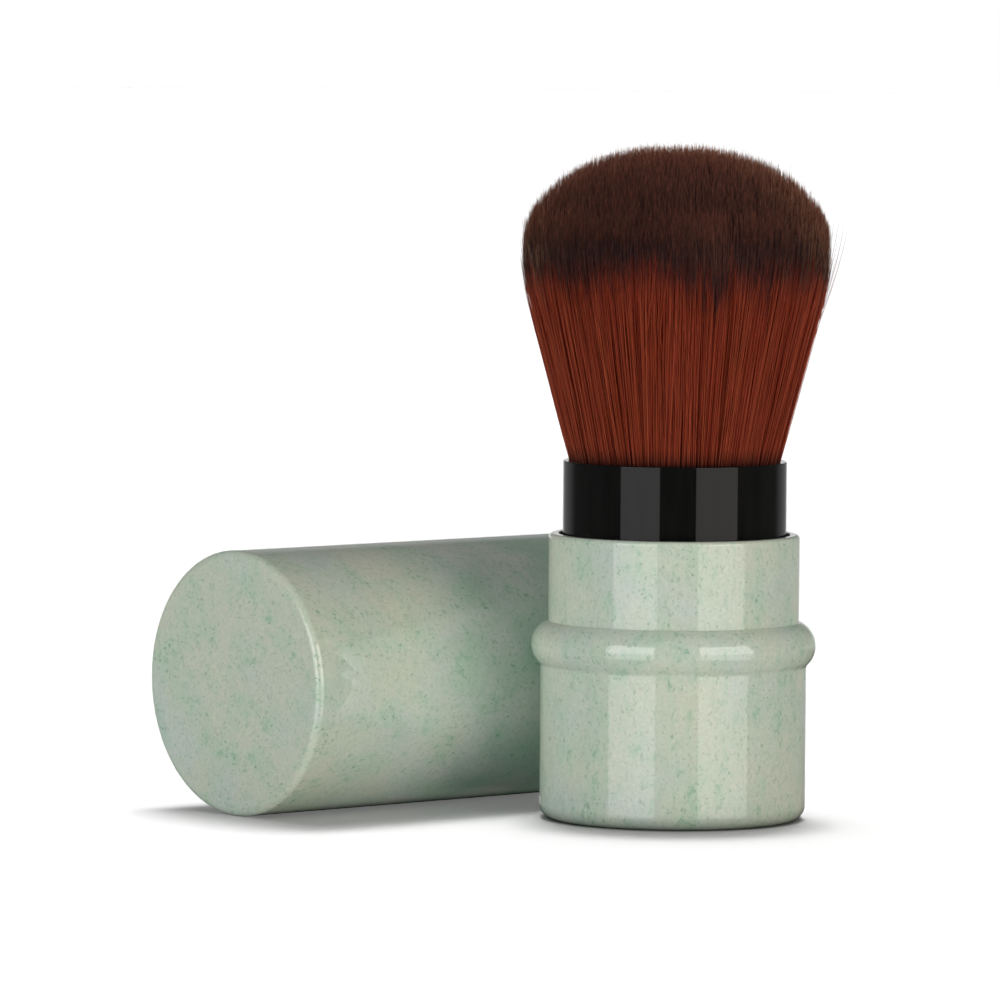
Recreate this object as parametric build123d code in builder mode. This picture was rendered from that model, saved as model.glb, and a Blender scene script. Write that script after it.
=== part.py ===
from build123d import *
import math
import os

# A retractable makeup brush, standing, with its pull-off cap lying beside it.
# Lengths are in millimetres. The brush axis is Z, and its foot stands on the plane Z = 0.
# A black sleeve slides up over the fixed hair, until its foot ring meets the guide bush.

# Diameters and walls, from the sleeve outwards
sleeve_diameter = 28.6
sleeve_wall = 0.9
foot_reach = 0.8
neck_wall = 0.95
cup_wall = 0.95
bead_reach = 1.2
running_gap = 0.05

# Heights of the casing, from the floor up
floor_thickness = 3.6
body_height = 19.8
bead_height = 5.5
bead_lip = 0.2
bead_mid_share = 0.434
neck_rise = 11.2
sleeve_rise = 9.3
body_edge_round = 1.9
bead_foot_round = 0.5
neck_edge_round = 0.5

# Lip of the neck and the bush that it holds
lip_depth = 0.7
lip_reach = 0.35
lip_edge_round = 0.15
bush_length = 2.4
bush_chamfer = 0.3

# Foot ring of the sleeve, with its web, its groove and the rubber ring
foot_lift = 0.3
foot_height = 2.4
web_thickness = 0.6
web_reach = 4.0
end_gap = 0.1
rubber_section = 0.5
groove_play = 0.1
groove_share = 0.5
sleeve_edge_round = 0.12

# Post that carries the hair
post_radius = 5.0
post_foot_thickness = 1.4
post_foot_gap = 0.6
fin_count = 4
fin_thickness = 1.6
fin_gap = 0.1
fin_clearance = 2.0
post_head_thickness = 1.0
spigot_radius = 4.0
spigot_rise = 1.8
post_edge_round = 0.5

# Screw under the floor, and the disc that hides it
disc_thickness = 0.8
disc_margin = 2.5
disc_gap = 0.05
disc_chamfer = 0.15
screw_radius = 1.3
screw_hole_gap = 0.2
screw_grip = 7.4
screw_tip = 0.6
screw_head_radius = 2.5
screw_head_height = 1.5
screw_head_round = 0.4
head_pocket_gap = 0.6
head_pocket_depth = 1.7
drive_length = 2.6
drive_width = 0.5
drive_depth = 0.8
pilot_spare = 0.5

# Metal cup that binds the hair, and the resin in it
hair_cup_gap = 0.3
hair_cup_wall = 0.5
hair_cup_depth = 4.0
hair_cup_round = 0.4
resin_height = 3.2
backing_thickness = 0.8

# Hair, in the open state
hair_diameter = 40.0
hair_rise = 40.1
hip_rise = 20.2
shoulder_rise = 25.7
strand_count = 420
strand_gap = 0.3
hair_wall_gap = 0.06
root_width = 0.6
rim_width = 0.66
hip_width = 1.0
tip_width = 0.4
hip_share = 0.925
dome_power_share = 2.2
golden_angle = 180 * (3 - math.sqrt(5))

# Cap, lying on its side: its heading, its place beside the brush and its bores
cap_length = 65.0
cap_heading = 41.6
cap_side_gap = 0.4675
cap_end_lead = 43.4869
cap_gap = 0.1
cap_wall = 1.5
cap_end_wall = 1.6
cap_mouth_depth = 12.0
cap_lead_depth = 2.6
cap_end_round = 1.0
cap_inner_round = 1.5
cap_mouth_round = 0.25

# How far from a height an edge may lie and still count as being at it
height_slack = 0.001

# Radii that follow
sleeve_radius = sleeve_diameter / 2
sleeve_inner_radius = sleeve_radius - sleeve_wall
neck_bore_radius = sleeve_radius + foot_reach
neck_radius = neck_bore_radius + neck_wall
body_radius = neck_radius + cup_wall
bead_radius = body_radius + bead_reach
lip_radius = neck_bore_radius - lip_reach
foot_radius = neck_bore_radius - running_gap
web_radius = sleeve_inner_radius - web_reach
fin_radius = sleeve_inner_radius - fin_clearance
hair_cup_radius = sleeve_inner_radius - hair_cup_gap
hair_cup_inner_radius = hair_cup_radius - hair_cup_wall
hair_radius = hair_diameter / 2

# Heights that follow
bead_top = body_height + bead_height
neck_top = bead_top + neck_rise
bush_top = neck_top - lip_depth
bush_bottom = bush_top - bush_length
foot_bottom = floor_thickness + foot_lift
foot_top = foot_bottom + foot_height
sleeve_bottom = foot_bottom + web_thickness
sleeve_rim = neck_top + sleeve_rise
slide_travel = bush_bottom - foot_top - end_gap
post_head_bottom = sleeve_bottom + slide_travel + foot_lift
post_top = post_head_bottom + post_head_thickness
hair_cup_rim = sleeve_rim - hair_cup_depth
resin_bottom = post_top + hair_cup_wall
resin_top = resin_bottom + resin_height
backing_top = resin_top + backing_thickness
hip_height = sleeve_rim + hip_rise
shoulder_height = sleeve_rim + shoulder_rise
hair_top = sleeve_rim + hair_rise

# Cap placing: clear of the bead, with the closed end nearer the viewer
cap_radius = body_radius
cap_mouth_radius = neck_radius + cap_gap
cap_bore_radius = cap_radius - cap_wall
cap_axis = Vector(1, 0, 0).rotate(Axis.Z, cap_heading)
cap_side = Vector(0, 1, 0).rotate(Axis.Z, cap_heading)
cap_foot = cap_side * (bead_radius + cap_radius + cap_side_gap) - cap_axis * cap_end_lead
cap_centre = cap_foot + Vector(0, 0, cap_radius)
cap_plane = Plane(origin=cap_centre, x_dir=(0, 0, 1), z_dir=cap_axis)


def ring(bottom, top, outer, inner):
    """Adds a plain ring around the brush axis to the piece being built."""
    with BuildSketch(Plane.XY.offset(bottom)) as section:
        Circle(outer)
        Circle(inner, mode=Mode.SUBTRACT)
    extrude(section.sketch, amount=top - bottom)


def bore(bottom, top, radius):
    """Cuts a round hole on the brush axis from the piece being built."""
    with BuildSketch(Plane.XY.offset(bottom)) as section:
        Circle(radius)
    extrude(section.sketch, amount=top - bottom, mode=Mode.SUBTRACT)


def round_edges_at(piece, height):
    """The round edges of a piece that lie at one height, the smallest first."""
    circles = piece.edges().filter_by(GeomType.CIRCLE)
    level = circles.filter_by_position(Axis.Z, height - height_slack, height + height_slack)
    return level.sort_by(SortBy.RADIUS)


# Speckled lower casing with the rounded bead at its top
disc_radius = body_radius - disc_margin
pocket_top = disc_thickness + head_pocket_depth
with BuildPart() as base_cup:
    with BuildSketch(Plane.XZ):
        with BuildLine():
            floor_line = Line((0, 0), (body_radius, 0))
            side_line = Line(floor_line @ 1, (body_radius, body_height))
            bead_waist = body_height + bead_height * bead_mid_share
            bead_end = (neck_radius + bead_lip, bead_top)
            bead_arc = ThreePointArc(side_line @ 1, (bead_radius, bead_waist), bead_end)
            lip_line = Line(bead_arc @ 1, (0, bead_top))
            Line(lip_line @ 1, floor_line @ 0)
        make_face()
    revolve(axis=Axis.Z)
    fillet(round_edges_at(base_cup, 0), radius=body_edge_round)
    fillet(round_edges_at(base_cup, body_height), radius=bead_foot_round)
    bore(floor_thickness, bead_top, neck_radius)
    bore(0, disc_thickness, disc_radius)
    bore(disc_thickness, pocket_top, screw_head_radius + head_pocket_gap)
    bore(pocket_top, floor_thickness, screw_radius + screw_hole_gap)
base_cup.part.label = "base_cup"

# Speckled neck, a tube that stands on the floor of the casing
with BuildPart() as neck_tube:
    ring(floor_thickness, neck_top, neck_radius, neck_bore_radius)
    ring(bush_top, neck_top, neck_bore_radius, lip_radius)
    top_edges = round_edges_at(neck_tube, neck_top)
    fillet(top_edges[-1:], radius=neck_edge_round)
    fillet(round_edges_at(neck_tube, neck_top)[:1], radius=lip_edge_round)
neck_tube.part.label = "neck_tube"

# Black bush in the top of the neck, which guides and stops the sleeve
with BuildPart() as guide_bush:
    bush_bore_radius = sleeve_radius + running_gap
    ring(bush_bottom, bush_top, neck_bore_radius, bush_bore_radius)
    ring(bush_top, neck_top, lip_radius, bush_bore_radius)
    chamfer(round_edges_at(guide_bush, bush_bottom)[:1], length=bush_chamfer)
guide_bush.part.label = "guide_bush"

# Sliding sleeve
with BuildPart() as sleeve:
    ring(sleeve_bottom, sleeve_rim, sleeve_radius, sleeve_inner_radius)
    fillet(round_edges_at(sleeve, sleeve_rim), radius=sleeve_edge_round)
sleeve.part.label = "sleeve"

# Foot ring on the sleeve, whose slotted web rides on the fins of the post
groove_width = rubber_section + groove_play
groove_radius = foot_radius - rubber_section
groove_middle = sleeve_bottom + (foot_top - sleeve_bottom) * groove_share
with BuildPart() as sleeve_foot_ring:
    ring(foot_bottom, foot_top, foot_radius, sleeve_radius)
    ring(foot_bottom, sleeve_bottom, sleeve_radius, web_radius)
    with BuildSketch(Plane.XY.offset(foot_bottom)):
        with PolarLocations(0, fin_count):
            slot_length = 2 * (fin_radius + fin_gap)
            Rectangle(slot_length, fin_thickness + 2 * fin_gap)
    extrude(amount=web_thickness, mode=Mode.SUBTRACT)
    with BuildSketch(Plane.XY.offset(groove_middle - groove_width / 2)):
        Circle(body_radius)
        Circle(groove_radius, mode=Mode.SUBTRACT)
    extrude(amount=groove_width, mode=Mode.SUBTRACT)
sleeve_foot_ring.part.label = "sleeve_foot_ring"

# Rubber ring that holds the sleeve where it is put
with BuildPart() as friction_ring:
    with BuildSketch(Plane.XZ):
        with Locations((groove_radius + rubber_section / 2, groove_middle)):
            Circle(rubber_section / 2)
    revolve(axis=Axis.Z)
friction_ring.part.label = "friction_ring"

# Post with its fins, screwed to the floor of the casing
screw_tip_height = floor_thickness + screw_grip
with BuildPart() as core_post:
    with BuildSketch(Plane.XY.offset(floor_thickness)):
        Circle(post_radius)
        with PolarLocations(0, fin_count):
            Rectangle(2 * fin_radius, fin_thickness)
    extrude(amount=post_head_bottom - floor_thickness)
    with BuildSketch(Plane.XY.offset(floor_thickness)):
        Circle(web_radius - post_foot_gap)
    extrude(amount=post_foot_thickness)
    with BuildSketch(Plane.XY.offset(post_head_bottom)):
        Circle(hair_cup_inner_radius)
    extrude(amount=post_head_thickness)
    with BuildSketch(Plane.XY.offset(post_top)):
        Circle(spigot_radius)
    extrude(amount=hair_cup_wall + spigot_rise)
    fillet(round_edges_at(core_post, resin_bottom + spigot_rise), radius=post_edge_round)
    bore(floor_thickness, screw_tip_height + pilot_spare, screw_radius)
core_post.part.label = "core_post"

# Pan head screw with a cross recess
with BuildPart() as post_screw:
    head_bottom = pocket_top - screw_head_height
    with BuildSketch(Plane.XY.offset(head_bottom)):
        Circle(screw_head_radius)
    extrude(amount=screw_head_height)
    fillet(round_edges_at(post_screw, head_bottom), radius=screw_head_round)
    with BuildSketch(Plane.XY.offset(pocket_top)):
        Circle(screw_radius)
    extrude(amount=screw_tip_height - pocket_top)
    chamfer(round_edges_at(post_screw, screw_tip_height), length=screw_tip)
    with BuildSketch(Plane.XY.offset(head_bottom)):
        with PolarLocations(0, 2, angular_range=180):
            Rectangle(drive_length, drive_width)
    extrude(amount=drive_depth, mode=Mode.SUBTRACT)
post_screw.part.label = "post_screw"

# Plain disc set into the underside
with BuildPart() as base_disc:
    with BuildSketch(Plane.XY):
        Circle(disc_radius - disc_gap)
    extrude(amount=disc_thickness)
    chamfer(round_edges_at(base_disc, 0), length=disc_chamfer)
base_disc.part.label = "base_disc"

# Metal cup that binds the roots of the hair
with BuildPart() as hair_cup:
    with BuildSketch(Plane.XY.offset(post_top)):
        Circle(hair_cup_radius)
    extrude(amount=hair_cup_rim - post_top)
    fillet(round_edges_at(hair_cup, post_top), radius=hair_cup_round)
    bore(resin_bottom, hair_cup_rim, hair_cup_inner_radius)
    bore(post_top, resin_bottom, spigot_radius)
hair_cup.part.label = "hair_cup"

# Resin that locks the roots and the spigot of the post
with BuildPart() as hair_root_plug:
    with BuildSketch(Plane.XY.offset(resin_bottom)):
        Circle(hair_cup_inner_radius)
    extrude(amount=resin_height)
    bore(resin_bottom, resin_bottom + spigot_rise, spigot_radius)
hair_root_plug.part.label = "hair_root_plug"

# Hair: straight from the roots to the sleeve rim, flaring to the hip, ending in a dome
root_height = backing_top - backing_thickness / 2
rim_reach = sleeve_inner_radius - strand_gap - rim_width / 2
mouth_reach = hair_cup_inner_radius - hair_wall_gap - rim_width / 2
flare = (rim_reach - mouth_reach) / (sleeve_rim - hair_cup_rim)
root_reach = mouth_reach - flare * (hair_cup_rim - root_height)
hip_reach = hair_radius * hip_share
tip_reach = hair_radius - tip_width / 2


def dome_height(share):
    """Height of the dome of tips at a share of the hair's radius."""
    drop = math.sqrt(1 - share**dome_power_share)
    return shoulder_height + (hair_top - shoulder_height) * drop


def hair_strand(share, heading):
    """One four-sided strand, whose distance from the axis is a share of the outermost one's."""
    stations = [
        (root_height, root_reach, root_width),
        (sleeve_rim, rim_reach, rim_width),
        (hip_height, hip_reach, hip_width),
        (dome_height(share), tip_reach, tip_width),
    ]
    rings = []
    for height, reach, width in stations:
        level = Plane.XY.offset(height).rotated((0, 0, heading))
        inner = reach * share - width / 2
        outer = reach * share + width / 2
        corners = [(inner, -width / 2), (outer, -width / 2), (outer, width / 2), (inner, width / 2)]
        rings.append([level.from_local_coords((*corner, 0)) for corner in corners])
    outlines = [rings[0], rings[-1]]
    for lower, upper in zip(rings, rings[1:]):
        for corner in range(len(lower)):
            outlines.append([lower[corner - 1], lower[corner], upper[corner], upper[corner - 1]])
    sides = [Face(Wire.make_polygon(outline)) for outline in outlines]
    return Solid(Shell(sides))


strands = []
for index in range(strand_count):
    spread_share = math.sqrt((index + 1 / 2) / strand_count)
    strands.append(hair_strand(spread_share, index * golden_angle))

with BuildPart() as bristles:
    with BuildSketch(Plane.XY.offset(resin_top)):
        Circle(hair_cup_inner_radius)
    extrude(amount=backing_thickness)
    add(strands)
bristles.part.label = "bristles"

# Cap: an outer barrel with a rounded closed end, a deep bore and a wider mouth, joined by a cone
cap_line = Axis(cap_plane.origin, cap_axis)
mouth_floor = cap_length - cap_mouth_depth
with BuildPart() as cap_shell:
    with BuildSketch(cap_plane):
        Circle(cap_radius)
    extrude(amount=cap_length)
    barrel_rims = cap_shell.edges().filter_by(GeomType.CIRCLE).sort_by(cap_line)
    fillet(barrel_rims[0], radius=cap_end_round)
    with BuildSketch(cap_plane.offset(cap_end_wall)):
        Circle(cap_bore_radius)
    extrude(amount=cap_length - cap_end_wall, mode=Mode.SUBTRACT)
    bore_rims = cap_shell.edges(Select.LAST).filter_by(GeomType.CIRCLE).sort_by(cap_line)
    fillet(bore_rims[0], radius=cap_inner_round)
    with BuildSketch(cap_plane.offset(mouth_floor)):
        Circle(cap_mouth_radius)
    extrude(amount=cap_mouth_depth, mode=Mode.SUBTRACT)
    with BuildSketch(cap_plane.offset(mouth_floor)):
        Circle(cap_mouth_radius)
    with BuildSketch(cap_plane.offset(mouth_floor - cap_lead_depth)):
        Circle(cap_bore_radius)
    loft(ruled=True, mode=Mode.SUBTRACT)
    mouth_rims = cap_shell.edges().filter_by(GeomType.CIRCLE).sort_by(cap_line)
    fillet(mouth_rims[-2:], radius=cap_mouth_round)
cap_shell.part.label = "cap_shell"

pieces = [
    base_cup,
    neck_tube,
    guide_bush,
    sleeve,
    sleeve_foot_ring,
    friction_ring,
    core_post,
    post_screw,
    base_disc,
    hair_cup,
    hair_root_plug,
    bristles,
    cap_shell,
]
os.makedirs("parts", exist_ok=True)
for piece in pieces:
    export_step(piece.part, f"parts/{piece.part.label}.step")

cap_mouth = cap_plane.origin + cap_axis * cap_length
print(f"slide travel {slide_travel:.3f} mm, sleeve rim {sleeve_rim:.2f} mm, hair top {hair_top:.2f} mm")
print(f"cap mouth at {cap_mouth.X:.3f}, {cap_mouth.Y:.3f}, {cap_mouth.Z:.3f} mm")
print(f"cap axis {cap_axis.X:.5f}, {cap_axis.Y:.5f}, {cap_axis.Z:.5f}")
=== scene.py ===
import math

import bpy
import numpy as np
from mathutils import Matrix, Vector


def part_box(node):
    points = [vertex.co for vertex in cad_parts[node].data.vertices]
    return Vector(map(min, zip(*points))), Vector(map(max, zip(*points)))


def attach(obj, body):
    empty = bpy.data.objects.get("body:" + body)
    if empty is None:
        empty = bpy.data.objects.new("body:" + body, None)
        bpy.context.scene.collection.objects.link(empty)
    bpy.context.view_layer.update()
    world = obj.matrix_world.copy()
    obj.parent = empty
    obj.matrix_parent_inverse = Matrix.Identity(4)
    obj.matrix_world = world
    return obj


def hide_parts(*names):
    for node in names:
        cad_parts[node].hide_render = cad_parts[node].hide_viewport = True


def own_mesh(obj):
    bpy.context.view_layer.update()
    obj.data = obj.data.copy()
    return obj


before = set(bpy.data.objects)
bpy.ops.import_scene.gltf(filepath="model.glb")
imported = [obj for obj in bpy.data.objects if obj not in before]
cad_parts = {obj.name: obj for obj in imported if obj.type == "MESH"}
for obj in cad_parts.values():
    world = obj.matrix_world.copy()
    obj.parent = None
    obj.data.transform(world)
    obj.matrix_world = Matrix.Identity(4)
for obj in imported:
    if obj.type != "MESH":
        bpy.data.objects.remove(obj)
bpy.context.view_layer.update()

# Lengths are in metres. The brush axis is Z, and the camera looks roughly along +Y.
MM = 0.001
rng = np.random.default_rng(41)

# Heights and radii of the hair's neighbours, read from the frame
rim_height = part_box("sleeve")[1][2]
sleeve_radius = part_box("sleeve")[1][0]
sleeve_wall = 0.9 * MM
bore_radius = sleeve_radius - sleeve_wall
cup_rim_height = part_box("hair_cup")[1][2]

# Form of the hair: a straight flare from the rim, bending upright into a dome of tips
rim_gap = 0.2 * MM
root_drop = 0.5 * MM
root_inset = 0.9 * MM
flare_slope = 0.265
flare_height = 20 * MM
bend_height = 12 * MM
shoulder_rise = 25.9 * MM
dome_power = 2.2
tip_allowance = 0.25 * MM
hair_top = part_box("bristles")[1][2] - tip_allowance
root_height = cup_rim_height - root_drop
rim_reach = bore_radius - rim_gap
shoulder_height = rim_height + shoulder_rise

# Kinds of strands: how many, how thick and with how many points, how much their lean, curl and
# tone vary, how far locks draw them together and whether they share a lock's looks, and the
# share of their length at which they start to taper
side_kind = {
    "strands": 16000,
    "thickness": 0.052 * MM,
    "stations": 12,
    "lean": 0.014,
    "curl": 0.6 * MM,
    "tone": 0.45,
    "gather": 1.0,
    "in_lock": 1,
    "taper_start": 0.7,
}
dome_kind = {
    "strands": 32000,
    "thickness": 0.05 * MM,
    "stations": 4,
    "lean": 0.045,
    "curl": 0.3 * MM,
    "tone": 0.45,
    "gather": 0.2,
    "in_lock": 0,
    "taper_start": 0.5,
}
fill_kind = {
    "strands": 1600,
    "thickness": 0.2 * MM,
    "stations": 7,
    "lean": 0.01,
    "curl": 0.4 * MM,
    "tone": 0.3,
    "gather": 0.6,
    "in_lock": 1,
    "taper_start": 0.6,
}
stray_kind = {
    "strands": 34,
    "thickness": 0.045 * MM,
    "stations": 14,
    "lean": 0.03,
    "curl": 1.5 * MM,
    "tone": 0.3,
    "gather": 0.4,
    "in_lock": 1,
    "taper_start": 0.8,
}
tube_sides = 3
thinnest_tip = 0.15
curl_span = 40 * MM

# Outer coat: the share of the hair's reach at which it starts, how deep it goes and how it crowds
# outwards. A few of its strands cross the others, and its outermost ones are lighter, with their
# orange reaching nearer the tips: painted light for light shining through the hair's edge.
coat_share = 1.03
coat_depth_share = 0.14
coat_crowding = 0.46
side_jitter = 0.6 * MM
side_shortfall = 0.8 * MM
crossing_portion = 0.02
crossing_lean = 0.09
crossing_tone = 0.6
outer_share = 0.995
outer_painted_light = 0.7
outer_painted_light_shift = 4.5

# Dome of short upright ends, lighter towards its crown by painted light from above
dome_area_share = 0.95
dome_jitter = 0.38 * MM
dome_strand_length = 11 * MM
crown_painted_light = 3.2
crown_painted_light_power = 1.5

# Fill behind the coat: its inner and outer edge as shares of the area, and its depth below the dome
fill_inner_share = 0.6
fill_outer_share = 0.86
fill_least_drop = 1.2 * MM
fill_most_drop = 2.4 * MM
# The fill's darker tone is painted shade of the hair's inside
fill_painted_shade = -0.2

# Strays at the sides and behind: where they start, how high they end and how far they splay
stray_places = [math.radians(degrees) for degrees in (-4, 2, 178, 80)]
stray_spread = math.radians(9)
stray_share = 0.98
stray_lowest_end = 62 * MM
stray_highest_end = 77 * MM
stray_span = 28 * MM
stray_least_splay = 0.01
stray_most_splay = 0.09
stray_tone = 0.4

# Locks that the side hair gathers into, and how they let go in the bend
lock_count = 62
lock_place_spread = 0.32
lock_gather = 0.10
lock_lean_spread = 0.032
lock_lift_low = -0.2 * MM
lock_lift_high = 0.2 * MM
lock_round = 0.12 * MM
lock_tone_spread = 0.1
lock_tip_spread = 0.5
free_rise = 9 * MM
bend_release = 0.8

# Parting in the front of the hair, as angles round the axis
parting_angle = math.radians(-100)
parting_spread = math.radians(3.2)
parting_depth = 0.6 * MM
parting_push = math.radians(1.5)
parting_fade = 2

# Places where the dark band ends higher or lower: angle, half width, and shift in millimetres.
# The shift sets in over a stretch below the tips, also in millimetres.
band_shifts = [
    (math.radians(-150), math.radians(14), 0.8),
    (math.radians(-106), math.radians(7), 3.4),
    (math.radians(-76), math.radians(9), -2.6),
    (math.radians(-33), math.radians(12), 1.5),
]
shift_start = 1
shift_stretch = 3

# Dark inside of the hair, under the visible coat: a solid whose darker tone is painted shade
core_share = 0.885
core_drop = 3.2 * MM
core_wall_rows = 14
core_dome_rows = 8
core_columns = 6
core_painted_shade = -0.3

# Map of a sector of hair: a column for each strand, with its ends, and a part for the inside
sector_count = 20
strands_map_share = 0.94
column_margin = 0.1
column_width = 0.8
tube_map_low = 0.03
tube_map_high = 0.97
end_map_places = (0.0, 0.98)
end_map_height = 0.015
end_map_step = 0.4
core_map_margin = 0.02

# Colours of the hair by distance from the tip, in millimetres
hair_colours = [
    (0.0, (0.290, 0.096, 0.058)),
    (0.9, (0.105, 0.0300, 0.0200)),
    (1.8, (0.042, 0.0138, 0.0116)),
    (3.0, (0.034, 0.0110, 0.0098)),
    (4.0, (0.078, 0.0140, 0.0090)),
    (5.6, (0.205, 0.0240, 0.0090)),
    (8.0, (0.340, 0.0350, 0.0100)),
    (40.0, (0.325, 0.0340, 0.0100)),
]
hair_colour_span = 40.0

# How far the colours drift along the strands, by place and by tone, setting in below the tips
hair_drift_noise = (120, 2.0)
hair_drift_stretch = (1, 1, 0.5)
hair_drift = 3.4
hair_tone_shift = 0.7
shifted_tips = (1.0, 5.0)

# Shafts below the dark band, golden where their tone is light, and how much lighter and darker
# strands differ in the band and in the shafts
shaft_tips = (4.0, 8.0)
golden_hair = (0.430, 0.098, 0.024)
golden_tones = (0.0, 1.3)
golden_strength = 0.36
hair_level = 0.92
band_contrast = 0.10
shaft_contrast = 0.03
least_hair_level = 0.3

# Painted shade where the hair leaves the sleeve, and the hair's own gloss
rim_shade_height = 2.2 * MM
rim_shade_level = 0.3
hair_roughness = 0.45
hair_roughness_drift = 0.12
hair_ior = 1.4

# Speckled plastic. A noise is given by its cells a metre, detail and roughness, edges are the values
# where a mask starts and is full, and a crowd is how much denser marks are in the clouds, and
# how dense they are outside.
noise_middle = 0.5
upright_speckle = {"turn": (0, 0, 0), "stretch": (1, 1, 0.65), "green": 0}
# The cap's green drift is painted shade and green bounce near its mouth, partly the marbling's own green
lying_speckle = {"turn": (0.5, 0.6, -0.73), "stretch": (0.65, 1, 1), "green": -0.34}
wobble_noise = (1500, 2.0)
wobble_reach = 0.55 * MM
drift_noise = (95, 3.0, 0.6)
drift_hues = [
    (0.10, (0.430, 0.600, 0.480)),
    (0.36, (0.615, 0.685, 0.620)),
    (0.48, (0.625, 0.690, 0.585)),
    (0.60, (0.655, 0.695, 0.580)),
    (0.80, (0.680, 0.710, 0.590)),
]
mottle_noise = (2400, 2.0)
mottle_span = 0.30
mottle_low = 0.85
cloud_noise = (230, 4.0, 0.65)
cloud_edges = (0.46, 0.70)
cloud_strength = 0.6
cloud_tint = (0.485, 0.665, 0.510)
mark_noise = (900, 2.5, 0.65)
mark_edges = (0.54, 0.70)
mark_crowd = (0.42, 0.20)
mark_tint = (0.290, 0.520, 0.360)
thread_crowd = (0.40, 0.28)
thread_tint = (0.180, 0.370, 0.240)
thread_detail = 1.0
thread_break_scale = 2.2
thread_break_edges = (0.56, 0.64)
fleck_crowd = (0.30, 0.30)
fleck_tint = (0.190, 0.320, 0.230)
fleck_variation = 0.7
polish_noise = (60, 2.0)
polish_span = 0.015
polish_low = 0.012
speckle_ior = 1.65

# Threads by scale and half width, the finest ones doubled by a pattern that lies close by
thread_sizes = [(560, 0.026), (1000, 0.040), (1000.7, 0.040)]

# Flecks by scale, size, sharpness and strength
fleck_sizes = [(1000, 0.30, 5.0, 0.55), (1700, 0.40, 4.0, 0.40)]

# Painted shade and green bounce on the cap: its colours drift darker and greener towards its mouth,
# beside the brush, and towards its lower side, partly the marbling's own green. From where, which
# way and over what length
cap_painted_shade_from = (-42 * MM, -2 * MM, 17 * MM)
cap_painted_shade_way = (0.70, 0.62, -0.35)
cap_painted_shade_span = 30 * MM

# Black gloss of the sleeve
gloss_stretch = (1, 1, 0.08)
gloss_noise = (700,)
gloss_dark = (0.0045, 0.0045, 0.0045)
gloss_light = (0.0075, 0.0075, 0.007)
gloss_roughness = 0.03
gloss_marks = 0.04
gloss_ior = 1.36

# Plain finishes: dark and light colour, roughness, grain in cells a metre, and then whether it is
# metal, how its grain is stretched and how strongly it shines
no_stretch = (1, 1, 1)
plain_finishes = {
    "black_moulding": ((0.008, 0.008, 0.008), (0.016, 0.016, 0.016), 0.6, 600, 0, no_stretch, 0.2),
    "black_rubber": ((0.012, 0.012, 0.012), (0.022, 0.022, 0.022), 0.7, 900, 0, no_stretch, 0.5),
    "zinc_steel": ((0.5, 0.5, 0.48), (0.66, 0.66, 0.63), 0.28, 800, 1, (1, 1, 0.2), 0.5),
    "pale_disc": ((0.50, 0.55, 0.48), (0.58, 0.61, 0.54), 0.5, 1400, 0, no_stretch, 0.5),
    "drawn_aluminium": ((0.68, 0.68, 0.69), (0.8, 0.8, 0.8), 0.25, 500, 1, (1, 1, 0.05), 0.5),
    "cured_resin": ((0.30, 0.19, 0.08), (0.42, 0.28, 0.13), 0.25, 300, 0, no_stretch, 0.5),
    "hair_base": ((0.10, 0.03, 0.01), (0.2, 0.05, 0.015), 0.5, 900, 0, no_stretch, 0.5),
}
grain_detail = 4.0
grain_places = (0.3, 0.7)
grain_roughness = 0.15
grain_bump = 0.15
grain_depth = 0.1 * MM

# Finish of each CAD node
node_finishes = {
    "base_cup": "speckled_plastic",
    "neck_tube": "speckled_plastic",
    "cap_shell": "speckled_cap_plastic",
    "guide_bush": "black_moulding",
    "sleeve": "black_gloss_plastic",
    "sleeve_foot_ring": "black_moulding",
    "core_post": "black_moulding",
    "friction_ring": "black_rubber",
    "post_screw": "zinc_steel",
    "base_disc": "pale_disc",
    "hair_cup": "drawn_aluminium",
    "hair_root_plug": "cured_resin",
    "bristles": "hair_base",
}

# Studio. Angles are in degrees, and levels are the brightness that a facing white surface gets.
studio_middle = Vector((-12 * MM, 0, 40 * MM))
lamp_distance = 1.2
world_level = 0.40

# Softboxes by azimuth, level and colour
softboxes = [
    ("left_softbox", -37, 0.455, (0.95, 1.0, 0.98)),
    ("right_softbox", 44, 0.45, (1.05, 1.0, 0.89)),
]
softbox_elevation = -8
softbox_width = 0.7
softbox_height = 0.8

# Warm lamps behind the hair, by azimuth
rim_lamps = [("left_hair_rim", -138), ("right_hair_rim", 138)]
rim_lamp_elevation = 5
rim_lamp_size = 0.3
rim_lamp_colour = (1.0, 0.58, 0.30)
rim_lamp_level = 0.4

# Lamps of the floor by elevation, spread, level and the pieces that shade it from them
floor_lights = [
    ("floor_key", 70, 20, 1.0, ["base_cup", "cap_shell"]),
    ("broad_floor_key", 74, 44, 0.85, ["base_cup", "cap_shell"]),
    ("floor_fill", 78, 78, 0.32, ["base_cup"]),
]
floor_light_heading = 180
floor_half_width = 6.0
floor_seen = 0.42
floor_bounce = 0.165

# Dark patches just under the floor, which keep light from below off the lowest edges
patch_drop = 0.1 * MM
foot_patch_margin = 4 * MM
foot_patch_corners = 48
cap_patch_reach = 8 * MM
cap_heading = math.radians(41.6)
cap_length = 65 * MM

# Bright cards that show in the gloss, by their left and right azimuth and colour
cards = [("left_card", -58, -16, (1.0, 0.985, 0.99)), ("right_card", 21, 66.5, (1.0, 0.965, 0.91))]
card_distance = 1.6
card_cells = (8, 4)
card_low = -24
card_middle = -1
card_high = 31
card_lower_level = 1.36
card_upper_level = 2.8

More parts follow.
